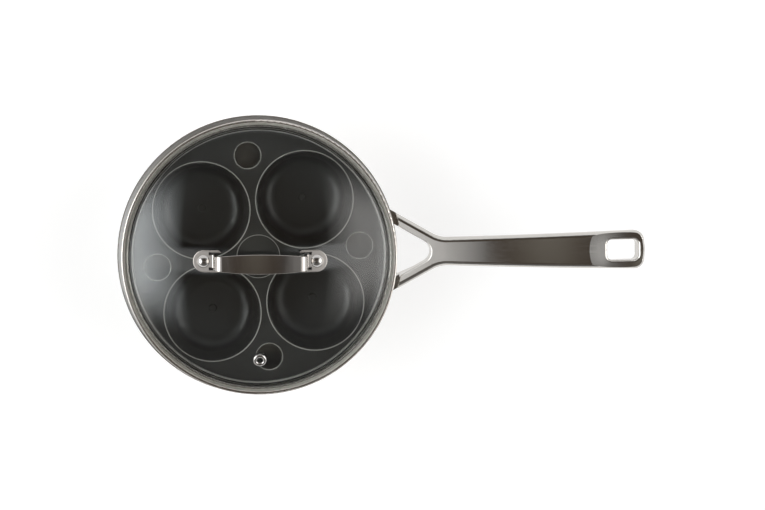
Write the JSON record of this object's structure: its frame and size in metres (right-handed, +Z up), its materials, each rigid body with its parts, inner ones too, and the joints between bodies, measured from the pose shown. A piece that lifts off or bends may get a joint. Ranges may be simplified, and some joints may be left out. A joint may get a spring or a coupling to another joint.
{
  "type": "egg poacher pan",
  "caption": "Steel pan with a long forked handle, a lift-out black poaching tray with round egg cups, and a domed glass lid with a bridge handle and steam vent.",
  "frame": {"origin": "middle of the pan's flat base, on the surface that it stands on", "axes": "+X along the long handle, +Z up, so +Y is to the left of the handle seen from the pan"},
  "size_m": [0.392, 0.212, 0.1164],
  "materials": {
    "pan_steel": "satin",
    "core_aluminium": "satin",
    "handle_steel": "satin",
    "tray_coating": "dark non-stick coating",
    "lid_glass": "clear tempered glass",
    "rim_steel": "polished",
    "bridge_steel": "brushed",
    "rivet_steel": "polished",
    "vent_steel": "polished",
    "washer_steel": "satin",
    "silicone": "matt silicone"
  },
  "bodies": {
    "pan": {"pan_outer_skin": "pan_steel", "pan_core": "core_aluminium", "pan_inner_skin": "pan_steel", "pan_handle": "handle_steel", "handle_rivet_left": "rivet_steel", "handle_rivet_right": "rivet_steel"},
    "tray": {"poaching_tray": "tray_coating"},
    "lid": {"lid_glass": "lid_glass", "lid_rim_band": "rim_steel", "lid_rim_seal": "silicone", "lid_handle": "bridge_steel", "lid_rivet_left": "rivet_steel", "lid_rivet_right": "rivet_steel", "outer_washer_left": "silicone", "outer_washer_right": "silicone", "inner_washer_left": "silicone", "inner_washer_right": "silicone", "steel_washer_left": "washer_steel", "steel_washer_right": "washer_steel", "vent_eyelet": "vent_steel", "vent_grommet": "silicone"}
  },
  "joints": [
    {"name": "tray_lift", "type": "slide", "parent": "pan", "child": "tray", "axis": [0, 0, 1], "range_m": [0, 0.06]},
    {"name": "lid_lift", "type": "slide", "parent": "tray", "child": "lid", "axis": [0, 0, 1], "range_m": [0, 0.05]}
  ]
}
